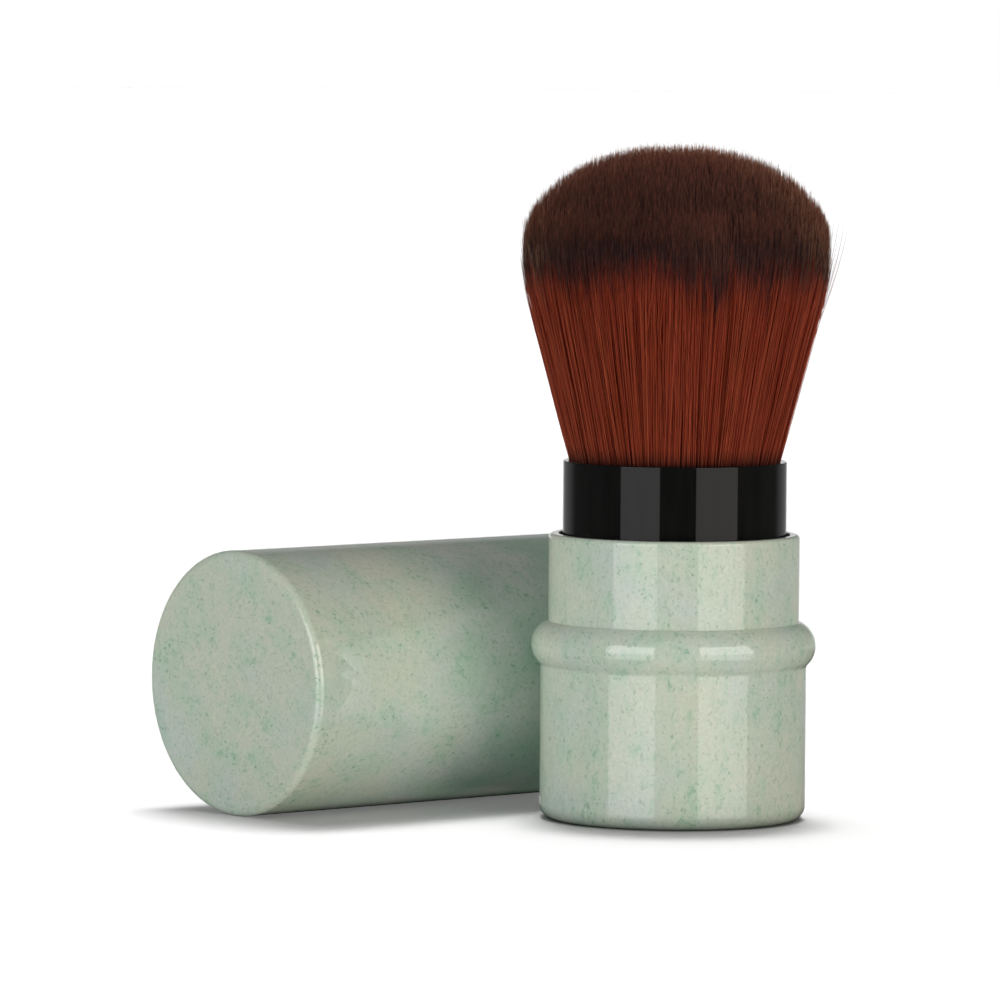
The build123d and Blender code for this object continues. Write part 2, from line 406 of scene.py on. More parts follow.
# Dim room that shows in the gloss: brightness by the angle from straight behind the object, and
# the heights over which it comes up from the floor and dims overhead, as shares of its distance
surround_distance = 2.5
surround_cells = (36, 18)
surround_levels = [(0, 0.9), (14, 0.9), (21, 0.35), (44, 0.25), (56, 0.07), (95, 0.06), (130, 0), (180, 0)]
surround_foot = (-0.14, -0.085)
surround_ceiling = (0.04, 0.14)
ceiling_dimming = 0.6

# Camera: a long lens slightly above the brush, with the photograph's small roll
camera_aim = Vector((-22.3 * MM, 0, 40.6 * MM))
camera_elevation = 3.747
camera_distance = 1045 * MM
camera_roll = 0.453
focal_pixels = 8187
photo_width = 1000
sensor_width = 36
nearest_seen = 0.05
farthest_seen = 50


# Form of the hair
def hair_reach(height):
    """Distance of the outermost strands from the axis at a height."""
    rise = height - rim_height
    straight = rim_reach + flare_slope * np.clip(rise, 0, flare_height)
    bend = np.clip(rise - flare_height, 0, bend_height)
    curved = flare_slope * (bend - bend**2 / (2 * bend_height))
    below = np.clip(-rise / (rim_height - root_height), 0, 1)
    return straight + curved - root_inset * below


def dome_height(share):
    """Height of the tips at a share of the hair's reach."""
    bow = np.sqrt(1 - np.clip(share, 0, 1) ** dome_power)
    return shoulder_height + (hair_top - shoulder_height) * bow


def share_of_bend(height):
    """How far the hair has bent upright at a height, from 0 to 1."""
    return np.clip((height - rim_height - flare_height) / bend_height, 0, 1)


def turn_between(start, stop):
    """Signed turn from one angle to another, half a turn at most."""
    return (stop - start + math.pi) % (2 * math.pi) - math.pi


# Strands
def make_locks():
    """The locks of the side hair, spread unevenly round the axis."""
    step = 2 * math.pi / lock_count
    moved = rng.uniform(-lock_place_spread, lock_place_spread, lock_count)
    return {
        "angle": -math.pi + step * (np.arange(lock_count) + moved),
        "lean": rng.normal(0, lock_lean_spread, lock_count),
        "lift": rng.uniform(lock_lift_low, lock_lift_high, lock_count),
        "tone": rng.normal(0, lock_tone_spread, lock_count),
        "tip": rng.normal(0, lock_tip_spread, lock_count),
    }


def band_shift(angle):
    """How much further from the tips the colours lie at an angle, in millimetres."""
    shift = np.zeros_like(angle)
    for middle, half_width, amount in band_shifts:
        shift += amount * np.exp(-((turn_between(middle, angle) / half_width) ** 2))
    return shift


def make_family(kind, share, low, high, locks, angle=None):
    """Strands that are made alike, each in the lock nearest to it."""
    count = kind["strands"]
    if angle is None:
        angle = rng.uniform(-math.pi, math.pi, count)
    lock = np.argmin(np.abs(turn_between(angle[:, None], locks["angle"][None, :])), axis=1)
    return {
        "angle": angle,
        "share": share,
        "low": low,
        "high": high,
        "lock": lock,
        "lean": rng.normal(0, kind["lean"], count) + locks["lean"][lock] * kind["in_lock"],
        "curl": rng.normal(0, kind["curl"], count),
        "tone": rng.normal(0, kind["tone"], count),
        "lock_tone": locks["tone"][lock] * kind["in_lock"],
        "tip": (locks["tip"][lock] + band_shift(angle)) * kind["in_lock"],
    }


def strand_points(kind, family, locks):
    """Points of a family's strands, as an array of strands by stations by three."""
    gather = kind["gather"]
    steps = np.linspace(0, 1, kind["stations"])[None, :]
    low = family["low"][:, None]
    height = low + (family["high"][:, None] - low) * steps
    rise = np.clip(height - root_height, 0, None)
    freed = np.clip(rise / free_rise, 0, 1) * (1 - bend_release * share_of_bend(height))
    angle = family["angle"][:, None]
    home = turn_between(angle, locks["angle"][family["lock"]][:, None])
    away = home * lock_count / math.pi
    part = turn_between(parting_angle, angle) / parting_spread
    reach = hair_reach(height) * family["share"][:, None]
    reach = reach + (locks["lift"][family["lock"]][:, None] - lock_round * away**2) * freed * gather
    reach = reach - parting_depth * np.exp(-part**2) * freed * gather
    turn = home * lock_gather * gather * freed
    turn = turn + parting_push * gather * np.tanh(part) * np.exp(-np.abs(part) / parting_fade) * freed
    length = rise / curl_span
    side = family["lean"][:, None] * rise + family["curl"][:, None] * length**2
    theta = angle + turn
    x = reach * np.cos(theta) - side * np.sin(theta)
    y = reach * np.sin(theta) + side * np.cos(theta)
    return np.stack([x, y, height], axis=2)


def strand_block(kind, family, locks):
    """One family of strands as tubes, ready to be sorted into sectors."""
    points = strand_points(kind, family, locks)
    flat = points * (1, 1, 0)
    radial = flat / np.linalg.norm(flat, axis=2, keepdims=True)
    across = np.cross((0, 0, 1), radial)
    along = np.linspace(0, 1, kind["stations"])
    taper = np.clip((1 - along) / (1 - kind["taper_start"]), thinnest_tip, 1)[None, :, None]
    spin = rng.uniform(0, 2 * math.pi, len(points))[:, None, None]
    corners = []
    for side in range(tube_sides):
        turn = spin + side * 2 * math.pi / tube_sides
        way = np.cos(turn) * radial + np.sin(turn) * across
        corners.append(points + way * taper * kind["thickness"])
    gaps = np.linalg.norm(np.diff(points, axis=1), axis=2)
    to_tip = np.zeros(points.shape[:2])
    to_tip[:, :-1] = np.cumsum(gaps[:, ::-1], axis=1)[:, ::-1] / MM
    moved = np.clip((to_tip - shift_start) / shift_stretch, 0, 1)
    lock_tone = family["lock_tone"][:, None] * (1 - share_of_bend(points[..., 2]))
    return {
        "angle": family["angle"],
        "vertices": np.stack(corners, axis=2),
        "to_tip": to_tip + family["tip"][:, None] * moved,
        "tone": family["tone"][:, None] + lock_tone,
    }


def side_block(locks):
    """The outer coat, from the cup to the shoulder of the dome."""
    count = side_kind["strands"]
    share = coat_share - coat_depth_share * rng.uniform(0, 1, count) ** coat_crowding
    uneven = rng.normal(0, side_jitter, count) - rng.exponential(side_shortfall, count)
    low = np.full(count, root_height)
    family = make_family(side_kind, share, low, dome_height(share) + uneven, locks)
    crossing = rng.uniform(0, 1, count) < crossing_portion
    family["lean"] += crossing * rng.normal(0, crossing_lean, count)
    family["tone"] += crossing * crossing_tone
    # Painted light: the outermost strands are made lighter, and their orange reaches nearer the tips
    outer = np.clip((share - outer_share) / (1 - outer_share), 0, 1)
    family["tone"] += outer_painted_light * outer
    family["tip"] += outer_painted_light_shift * outer
    return strand_block(side_kind, family, locks)


def dome_block(locks):
    """Short upright ends that fill the dome."""
    count = dome_kind["strands"]
    share = np.sqrt(rng.uniform(0, dome_area_share, count))
    high = dome_height(share) + rng.normal(0, dome_jitter, count)
    family = make_family(dome_kind, share, high - dome_strand_length, high, locks)
    # Painted light: the tones grow lighter towards the crown, where light from above falls
    family["tone"] += crown_painted_light * (1 - share**crown_painted_light_power)
    return strand_block(dome_kind, family, locks)


def fill_block(locks):
    """Thick strands behind the coat, which close the view into the hair."""
    count = fill_kind["strands"]
    share = np.sqrt(rng.uniform(fill_inner_share, fill_outer_share, count))
    high = dome_height(share) - rng.uniform(fill_least_drop, fill_most_drop, count)
    low = np.full(count, root_height)
    family = make_family(fill_kind, share, low, high, locks)
    family["tone"] += fill_painted_shade
    return strand_block(fill_kind, family, locks)


def stray_block(locks):
    """Single strands that leave the coat as they rise, and end low."""
    count = stray_kind["strands"]
    share = np.full(count, stray_share)
    low = np.full(count, root_height)
    high = rng.uniform(stray_lowest_end, stray_highest_end, count)
    places = rng.normal(0, stray_spread, count) + rng.choice(stray_places, count)
    family = make_family(stray_kind, share, low, high, locks, turn_between(0, places))
    family["tone"] += stray_tone
    block = strand_block(stray_kind, family, locks)
    splay = rng.uniform(stray_least_splay, stray_most_splay, count)[:, None, None, None]
    rise = np.clip(block["vertices"][..., 2:] - rim_height, 0, None) / stray_span
    block["vertices"][..., :2] *= 1 + splay * rise**2
    return block


# Meshes of the hair
def tube_faces(strands, stations):
    """Quads along the tubes, and the triangles that close their ends."""
    index = np.arange(strands * stations * tube_sides).reshape(strands, stations, tube_sides)
    after = np.roll(index, -1, axis=2)
    quads = np.stack([index[:, :-1], after[:, :-1], after[:, 1:], index[:, 1:]], axis=3)
    return quads.reshape(-1, 4), index[:, 0, ::-1], index[:, -1]


def tube_map(first, strands, total, stations):
    """Places of the tubes on the hair's map: each strand has a column of its own."""
    column = (first + np.arange(strands)) / total
    width = 1 / total
    along = np.linspace(tube_map_low, tube_map_high, stations)
    quads = np.empty((strands, stations - 1, tube_sides, 4, 2))
    for side in range(tube_sides):
        left = (column + width * (column_margin + column_width * side / tube_sides))[:, None, None]
        right = left + width * column_width / tube_sides
        quads[:, :, side, :, 0] = np.concatenate([left, right, right, left], axis=2)
    for corner, shift in enumerate((0, 0, 1, 1)):
        quads[:, :, :, corner, 1] = along[shift:stations - 1 + shift][None, :, None]
    ends = []
    for low in end_map_places:
        corners = np.empty((strands, tube_sides, 2))
        for corner in range(tube_sides):
            corners[:, corner, 0] = column + width * (column_margin + end_map_step * corner)
            corners[:, corner, 1] = low + end_map_height * (corner % 2)
        ends.append(corners.reshape(-1, 2))
    return np.concatenate([quads.reshape(-1, 2), *ends]) * (strands_map_share, 1)


def core_rows():
    """Heights of the dark inside and its shares of the hair's reach, up its wall and over its dome."""
    wall = np.linspace(root_height, dome_height(core_share) - core_drop, core_wall_rows)
    rows = [(height, core_share) for height in wall]
    for share in np.linspace(core_share, 0, core_dome_rows)[1:]:
        rows.append((dome_height(share) - core_drop, share))
    return rows


def core_map(faces, rows, width):
    """Places of the dark inside on the hair's map, in the part beside the strands."""
    places = []
    for face in faces:
        for corner in face:
            row, column = divmod(corner, width)
            across = (1 - strands_map_share) * (column_margin + column_width * column / width)
            along = (1 - 2 * core_map_margin) * row / rows
            places.append((strands_map_share + across, core_map_margin + along))
    return places


def core_wedge(start, stop):
    """Closed wedge of the dark inside: vertices, distances from the tips, faces and map."""
    rows = core_rows()
    vertices = []
    to_tip = []
    for height, share in rows:
        reach = hair_reach(height) * share
        for angle in np.linspace(start, stop, core_columns):
            vertices.append((reach * math.cos(angle), reach * math.sin(angle), height))
        vertices.append((0, 0, height))
        to_tip.extend([(dome_height(share) - height) / MM] * (core_columns + 1))
    width = core_columns + 1
    faces = [tuple(reversed(range(width)))]
    for row in range(len(rows) - 2):
        for column in range(width):
            after = (column + 1) % width
            low = row * width
            faces.append((low + column, low + after, low + width + after, low + width + column))
    last = (len(rows) - 2) * width
    for column in range(core_columns - 1):
        faces.append((last + column, last + column + 1, last + core_columns))
    count = (len(rows) - 1) * width
    places = core_map(faces, len(rows), width)
    return np.array(vertices[:count]), np.array(to_tip[:count]), faces, np.array(places)


def sector_parts(number, start, step, blocks):
    """A sector's wedge of the dark inside and the strands that start in it, joined."""
    points, tips, faces, places = core_wedge(start, start + step)
    # The inside takes a darker tone, as painted shade
    vertices, to_tip, tone, places = [points], [tips], [np.full(len(points), core_painted_shade)], [places]
    core_faces = len(faces)
    inside = [np.floor((block["angle"] + math.pi) / step).astype(int) == number for block in blocks]
    total = sum(int(chosen.sum()) for chosen in inside)
    offset = len(points)
    first = 0
    for block, chosen in zip(blocks, inside):
        tubes = block["vertices"][chosen]
        strands, stations = tubes.shape[:2]
        for group in tube_faces(strands, stations):
            faces.extend((group + offset).tolist())
        places.append(tube_map(first, strands, total, stations))
        vertices.append(tubes.reshape(-1, 3))
        to_tip.append(np.repeat(block["to_tip"][chosen].reshape(-1), tube_sides))
        tone.append(np.repeat(block["tone"][chosen].reshape(-1), tube_sides))
        offset += strands * stations * tube_sides
        first += strands
    return {
        "vertices": np.concatenate(vertices),
        "faces": faces,
        "smooth": np.arange(len(faces)) >= core_faces,
        "map": np.concatenate(places),
        "tip_distance": np.concatenate(to_tip),
        "tone": np.concatenate(tone),
    }


def build_sector(number, blocks, material):
    """One sector of the hair, attached to the base."""
    step = 2 * math.pi / sector_count
    start = -math.pi + number * step
    parts = sector_parts(number, start, step, blocks)
    mesh = bpy.data.meshes.new(f"hair_sector_{number:02d}")
    mesh.from_pydata(parts["vertices"].tolist(), [], parts["faces"])
    layer = mesh.uv_layers.new(name="OFBake")
    layer.data.foreach_set("uv", parts["map"].astype(np.float32).ravel())
    for name in ("tip_distance", "tone"):
        attribute = mesh.attributes.new(name, "FLOAT", "POINT")
        attribute.data.foreach_set("value", parts[name].astype(np.float32))
    mesh.polygons.foreach_set("use_smooth", parts["smooth"])
    mesh.materials.append(material)
    piece = bpy.data.objects.new(mesh.name, mesh)
    bpy.context.scene.collection.objects.link(piece)
    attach(piece, "base")
    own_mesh(piece)
    return piece


# Shader nodes
def new_material(name):
    """An empty node material with its Principled shader."""
    material = bpy.data.materials.new(name)
    material.use_nodes = True
    tree = material.node_tree
    tree.nodes.clear()
    output = tree.nodes.new("ShaderNodeOutputMaterial")
    shader = tree.nodes.new("ShaderNodeBsdfPrincipled")
    tree.links.new(shader.outputs["BSDF"], output.inputs["Surface"])
    return material, tree, shader


def feed(tree, socket, value):
    """Links a socket to an input, or writes a number, colour or vector into it."""
    if isinstance(value, bpy.types.NodeSocket):
        tree.links.new(value, socket)
    elif isinstance(value, tuple) and socket.type == "RGBA":
        socket.default_value = (*value, 1)
    else:
        socket.default_value = value


def math_node(tree, operation, *values, clamp=False):
    """A math node whose inputs are sockets or numbers."""
    node = tree.nodes.new("ShaderNodeMath")
    node.operation = operation
    node.use_clamp = clamp
    for socket, value in zip(node.inputs, values):
        feed(tree, socket, value)
    return node.outputs[0]


def vector_node(tree, operation, first, second, output="Vector"):
    """A vector math node whose inputs are sockets or vectors."""
    node = tree.nodes.new("ShaderNodeVectorMath")
    node.operation = operation
    feed(tree, node.inputs[0], first)
    feed(tree, node.inputs[1], second)
    return node.outputs[output]


def scaled(tree, vector, amount):
    """A vector or colour made larger or smaller by a number."""
    node = tree.nodes.new("ShaderNodeVectorMath")
    node.operation = "SCALE"
    feed(tree, node.inputs[0], vector)
    feed(tree, node.inputs["Scale"], amount)
    return node.outputs["Vector"]


def ramp(tree, factor, stops):
    """A colour ramp from a list of places and colours."""
    node = tree.nodes.new("ShaderNodeValToRGB")
    elements = node.color_ramp.elements
    while len(elements) < len(stops):
        elements.new(0.5)
    for element, (place, colour) in zip(elements, stops):
        element.position = place
        element.color = (*colour, 1)
    feed(tree, node.inputs["Fac"], factor)
    return node.outputs["Color"]


def mask(tree, value, start, stop):
    """A number that rises from 0 to 1 while a value goes from start to stop."""
    node = tree.nodes.new("ShaderNodeMapRange")
    feed(tree, node.inputs["Value"], value)
    node.inputs["From Min"].default_value = start
    node.inputs["From Max"].default_value = stop
    return node.outputs[0]


def mix_colour(tree, factor, first, second):
    """A colour between two others, by the Mix node's factor and its two colour sockets."""
    node = tree.nodes.new("ShaderNodeMix")
    node.data_type = "RGBA"
    feed(tree, node.inputs[0], factor)
    feed(tree, node.inputs[6], first)
    feed(tree, node.inputs[7], second)
    return node.outputs[2]


def tinted(tree, colour, amount, strength, tint):
    """A colour with a tint laid over it, by an amount times a strength."""
    return mix_colour(tree, math_node(tree, "MULTIPLY", amount, strength), colour, tint)


def axis_of(tree, vector, axis):
    """How far a place lies along one axis."""
    split = tree.nodes.new("ShaderNodeSeparateXYZ")
    feed(tree, split.inputs[0], vector)
    return split.outputs[axis]


def object_coordinates(tree):
    """Places on the piece, in metres."""
    return tree.nodes.new("ShaderNodeTexCoord").outputs["Object"]


def turned(tree, vector, turn, stretch):
    """Coordinates that are turned and then stretched."""
    node = tree.nodes.new("ShaderNodeMapping")
    feed(tree, node.inputs["Vector"], vector)
    node.inputs["Rotation"].default_value = turn
    node.inputs["Scale"].default_value = stretch
    return node.outputs["Vector"]


def noise(tree, vector, scale, detail=3.0, roughness=0.55, output="Fac"):
    """A noise texture's grey value or colour."""
    node = tree.nodes.new("ShaderNodeTexNoise")
    feed(tree, node.inputs["Vector"], vector)
    node.inputs["Scale"].default_value = scale
    node.inputs["Detail"].default_value = detail
    node.inputs["Roughness"].default_value = roughness
    return node.outputs[output]


# Materials
def flecks(tree, vector, scale, size, share, sharpness):
    """Small separate flecks: the middles of some cells of a Voronoi texture."""
    cells = tree.nodes.new("ShaderNodeTexVoronoi")
    feed(tree, cells.inputs["Vector"], vector)
    cells.inputs["Scale"].default_value = scale
    split = tree.nodes.new("ShaderNodeSeparateColor")
    feed(tree, split.inputs[0], cells.outputs["Color"])
    chosen = math_node(tree, "LESS_THAN", split.outputs["Red"], share)
    even = 1 - fleck_variation
    grain = math_node(tree, "MULTIPLY_ADD", split.outputs["Green"], size * fleck_variation, size * even)
    inside = math_node(tree, "SUBTRACT", grain, cells.outputs["Distance"])
    soft = math_node(tree, "MULTIPLY", inside, sharpness, clamp=True)
    depth = math_node(tree, "MULTIPLY_ADD", split.outputs["Blue"], fleck_variation, even)
    return math_node(tree, "MULTIPLY", math_node(tree, "MULTIPLY", chosen, soft), depth)


def threads(tree, vector, scale, half_width):
    """Thin curved marks, where a noise passes through its middle value, broken into short ones."""
    away = math_node(tree, "SUBTRACT", noise(tree, vector, scale, thread_detail), noise_middle)
    line = mask(tree, math_node(tree, "ABSOLUTE", away), half_width, 0)
    breaks = noise(tree, vector, scale * thread_break_scale, thread_detail)
    broken = mask(tree, breaks, *thread_break_edges)
    return math_node(tree, "MULTIPLY", line, broken)


def painted_shade_and_bounce(tree, vector, depth):
    """How far the colours drift towards a darker green at a place on the cap: painted shade and green
    bounce from the brush beside its mouth, partly the marbling's own green.
    """
    place = vector_node(tree, "SUBTRACT", vector, cap_painted_shade_from)
    along = vector_node(tree, "DOT_PRODUCT", place, cap_painted_shade_way, "Value")
    return math_node(tree, "MULTIPLY", mask(tree, along, 0, cap_painted_shade_span), depth)


def speckled_plastic(name, speckle):
    """Pale glossy plastic with green clouds, thin green threads and fine dark flecks."""
    material, tree, shader = new_material(name)
    plain = object_coordinates(tree)
    wobble = noise(tree, plain, *wobble_noise, output="Color")
    wobble = vector_node(tree, "SUBTRACT", wobble, (noise_middle, noise_middle, noise_middle))
    warped = vector_node(tree, "ADD", plain, scaled(tree, wobble, wobble_reach))
    drawn = turned(tree, warped, speckle["turn"], speckle["stretch"])
    # The drift takes painted shade and green bounce near the cap's mouth on top of the marbling's own drift
    drift = math_node(tree, "ADD", noise(tree, plain, *drift_noise), painted_shade_and_bounce(tree, plain, speckle["green"]))
    mottle = math_node(tree, "MULTIPLY_ADD", noise(tree, plain, *mottle_noise), mottle_span, mottle_low)
    colour = scaled(tree, ramp(tree, drift, drift_hues), mottle)
    cloud = mask(tree, noise(tree, drawn, *cloud_noise), *cloud_edges)
    colour = tinted(tree, colour, cloud, cloud_strength, cloud_tint)
    marks = mask(tree, noise(tree, drawn, *mark_noise), *mark_edges)
    colour = tinted(tree, colour, marks, math_node(tree, "MULTIPLY_ADD", cloud, *mark_crowd), mark_tint)
    crowd = math_node(tree, "MULTIPLY_ADD", cloud, *thread_crowd)
    for scale, half_width in thread_sizes:
        colour = tinted(tree, colour, threads(tree, drawn, scale, half_width), crowd, thread_tint)
    share = math_node(tree, "MULTIPLY_ADD", cloud, *fleck_crowd)
    for scale, size, sharpness, strength in fleck_sizes:
        spots = flecks(tree, drawn, scale, size, share, sharpness)
        colour = tinted(tree, colour, spots, strength, fleck_tint)
    feed(tree, shader.inputs["Base Color"], colour)
    polish = math_node(tree, "MULTIPLY_ADD", noise(tree, plain, *polish_noise), polish_span, polish_low)
    feed(tree, shader.inputs["Roughness"], polish)
    shader.inputs["IOR"].default_value = speckle_ior
    return material


def black_gloss(name):
    """Glossy black plastic with faint polishing marks."""
    material, tree, shader = new_material(name)
    marks = noise(tree, turned(tree, object_coordinates(tree), (0, 0, 0), gloss_stretch), *gloss_noise)
    colour = ramp(tree, marks, list(zip(grain_places, (gloss_dark, gloss_light))))
    feed(tree, shader.inputs["Base Color"], colour)
    uneven = math_node(tree, "MULTIPLY_ADD", marks, gloss_marks, gloss_roughness)
    feed(tree, shader.inputs["Roughness"], uneven)
    shader.inputs["IOR"].default_value = gloss_ior
    return material


def plain_finish(name, dark, light, roughness, grain_scale, metallic, stretch, shine):
    """A matt or satin finish with its own fine grain."""
    material, tree, shader = new_material(name)
    place = turned(tree, object_coordinates(tree), (0, 0, 0), stretch)
    grain = noise(tree, place, grain_scale, grain_detail)
    feed(tree, shader.inputs["Base Color"], ramp(tree, grain, list(zip(grain_places, (dark, light)))))
    uneven = math_node(tree, "MULTIPLY_ADD", grain, grain_roughness, roughness)
    feed(tree, shader.inputs["Roughness"], uneven)
    bump = tree.nodes.new("ShaderNodeBump")
    bump.inputs["Strength"].default_value = grain_bump
    bump.inputs["Distance"].default_value = grain_depth
    feed(tree, bump.inputs["Height"], grain)
    feed(tree, shader.inputs["Normal"], bump.outputs["Normal"])
    shader.inputs["Metallic"].default_value = metallic
    shader.inputs["Specular IOR Level"].default_value = shine
    return material


def hair_number(tree, name):
    """A number that each point of the hair carries."""
    node = tree.nodes.new("ShaderNodeAttribute")
    node.attribute_name = name
    return node.outputs["Fac"]


def hair_material():
    """Two-tone synthetic hair: orange-brown shafts, a dark band and lighter brown tips."""
    material, tree, shader = new_material("two_tone_hair")
    tip_distance = hair_number(tree, "tip_distance")
    tone = hair_number(tree, "tone")
    plain = object_coordinates(tree)
    uneven = noise(tree, turned(tree, plain, (0, 0, 0), hair_drift_stretch), *hair_drift_noise)
    shift = math_node(tree, "MULTIPLY_ADD", uneven, hair_drift, -hair_drift / 2)
    shift = math_node(tree, "MULTIPLY_ADD", tone, hair_tone_shift, shift)
    place = math_node(tree, "MULTIPLY_ADD", shift, mask(tree, tip_distance, *shifted_tips), tip_distance)
    place = math_node(tree, "DIVIDE", place, hair_colour_span, clamp=True)
    colour = ramp(tree, place, [(length / hair_colour_span, tint) for length, tint in hair_colours])
    shaft = mask(tree, tip_distance, *shaft_tips)
    golden = math_node(tree, "MULTIPLY", mask(tree, tone, *golden_tones), golden_strength)
    colour = tinted(tree, colour, golden, shaft, golden_hair)
    contrast = math_node(tree, "MULTIPLY_ADD", shaft, shaft_contrast - band_contrast, band_contrast)
    level = math_node(tree, "MULTIPLY_ADD", tone, contrast, hair_level)
    level = math_node(tree, "MAXIMUM", level, least_hair_level)
    # Painted shade: the hair is darkened inside the sleeve and just above its rim
    painted_rim_shade = mask(tree, axis_of(tree, plain, "Z"), rim_height, rim_height + rim_shade_height)
    painted_rim_shade = math_node(tree, "MULTIPLY_ADD", painted_rim_shade, 1 - rim_shade_level, rim_shade_level)
    level = math_node(tree, "MULTIPLY", level, painted_rim_shade)
    feed(tree, shader.inputs["Base Color"], scaled(tree, colour, level))
    roughness = math_node(tree, "MULTIPLY_ADD", uneven, hair_roughness_drift, hair_roughness)
    feed(tree, shader.inputs["Roughness"], roughness)
    shader.inputs["IOR"].default_value = hair_ior
    return material


def dress_nodes():
    """Gives each CAD node its finish."""
    finishes = {name: plain_finish(name, *looks) for name, looks in plain_finishes.items()}
    finishes["speckled_plastic"] = speckled_plastic("speckled_plastic", upright_speckle)
    finishes["speckled_cap_plastic"] = speckled_plastic("speckled_cap_plastic", lying_speckle)
    finishes["black_gloss_plastic"] = black_gloss("black_gloss_plastic")
    for name, finish in node_finishes.items():
        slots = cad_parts[name].data.materials
        slots.clear()
        slots.append(finishes[finish])


# Lamps
def direction(azimuth, elevation):
    """Unit vector from the object: azimuth 0 is towards the camera, positive to the right."""
    flat = math.cos(math.radians(elevation))
    turn = math.radians(azimuth)
    return Vector((flat * math.sin(turn), -flat * math.cos(turn), math.sin(math.radians(elevation))))


def aimed_lamp(name, kind, azimuth, elevation):
    """A lamp that shines on the object from a direction and shows in nothing."""
    way = direction(azimuth, elevation)
    data = bpy.data.lights.new(name, kind)
    lamp = bpy.data.objects.new(name, data)
    lamp.location = studio_middle + way * lamp_distance
    lamp.rotation_euler = way.to_track_quat("Z", "Y").to_euler()
    lamp.visible_glossy = False
    lamp.visible_camera = False
    bpy.context.scene.collection.objects.link(lamp)
    return lamp


def area_lamp(name, azimuth, elevation, width, height, colour, level):
    """A flat lamp whose energy gives its level on a surface at the studio's middle."""
    lamp = aimed_lamp(name, "AREA", azimuth, elevation)
    lamp.data.shape = "RECTANGLE"
    lamp.data.size = width
    lamp.data.size_y = height
    lamp.data.color = colour
    lamp.data.energy = level * math.pi**2 * lamp_distance**2
    return lamp


def link_lamp(lamp, pieces, state):
    """Lets a lamp light only some pieces, or all but them."""
    receivers = bpy.data.collections.new(lamp.name + "_receivers")
    for number, piece in enumerate(pieces):
        receivers.objects.link(piece)
        receivers.collection_objects[number].light_linking.link_state = state
    lamp.light_linking.receiver_collection = receivers


def add_softboxes(floor):
    """Soft lamps in front of the object, which leave the floor to its own lamps."""
    for name, azimuth, level, colour in softboxes:
        lamp = area_lamp(name, azimuth, softbox_elevation, softbox_width, softbox_height, colour, level)
        link_lamp(lamp, [floor], "EXCLUDE")


def add_rim_lamps(sectors):
    """Warm lamps on the hair from behind, which catch its edge."""
    for name, azimuth in rim_lamps:
        size = rim_lamp_size
        lamp = area_lamp(name, azimuth, rim_lamp_elevation, size, size, rim_lamp_colour, rim_lamp_level)
        lamp.visible_glossy = True
        link_lamp(lamp, sectors, "INCLUDE")


def add_floor_lights(floor):
    """Broad lights on the floor alone, from above and behind, each shaded by its own pieces."""
    for name, elevation, spread, level, shaders in floor_lights:
        lamp = aimed_lamp(name, "SUN", floor_light_heading, elevation)
        lamp.data.angle = math.radians(spread)
        lamp.data.energy = level * math.pi / math.sin(math.radians(elevation))
        link_lamp(lamp, [floor], "INCLUDE")
        blockers = bpy.data.collections.new(name + "_blockers")
        for shader in shaders:
            blockers.objects.link(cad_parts[shader])
        lamp.light_linking.blocker_collection = blockers


# Stage
def glow(name, colour, strength):
    """A plain glow for the studio's own meshes: the material and its shader."""
    material = bpy.data.materials.new(name)
    material.use_nodes = True
    tree = material.node_tree
    tree.nodes.clear()
    output = tree.nodes.new("ShaderNodeOutputMaterial")
    light = tree.nodes.new("ShaderNodeEmission")
    light.inputs["Color"].default_value = (*colour, 1)
    light.inputs["Strength"].default_value = strength
    tree.links.new(light.outputs[0], output.inputs["Surface"])
    return material, light


def stage_mesh(name, vertices, faces, material):
    """A mesh of the studio, not of the object."""
    mesh = bpy.data.meshes.new(name)
    mesh.from_pydata(vertices, [], faces)
    mesh.materials.append(material)
    piece = bpy.data.objects.new(name, mesh)
    bpy.context.scene.collection.objects.link(piece)
    return piece


def gloss_only(piece):
    """Lets a studio card show in reflections alone."""
    piece.visible_camera = False
    piece.visible_diffuse = False
    piece.visible_shadow = False
    piece.visible_transmission = False
    piece.visible_volume_scatter = False


def dome_patch(left, right, low, high, cells, reach):
    """Vertices and faces of a patch of a sphere round the object, by azimuth and elevation."""
    columns, rows = cells
    vertices = []
    for elevation in np.linspace(low, high, rows + 1):
        for azimuth in np.linspace(left, right, columns + 1):
            vertices.append(studio_middle + direction(azimuth, elevation) * reach)
    width = columns + 1
    faces = []
    for row in range(rows):
        for column in range(columns):
            corner = row * width + column
            faces.append((corner, corner + 1, corner + width + 1, corner + width))
    return vertices, faces


def add_card(name, left, right, low, high, colour, strength):
    """A bright card that shows in the gloss, between two azimuths and two elevations."""
    vertices, faces = dome_patch(left, right, low, high, card_cells, card_distance)
    material, _ = glow(name, colour, strength)
    gloss_only(stage_mesh(name, vertices, faces, material))


def add_cards():
    """The cards, each in a dimmer lower half and a brighter upper one."""
    for name, left, right, colour in cards:
        add_card(name + "_lower", left, right, card_low, card_middle, colour, card_lower_level)
        add_card(name + "_upper", left, right, card_middle, card_high, colour, card_upper_level)


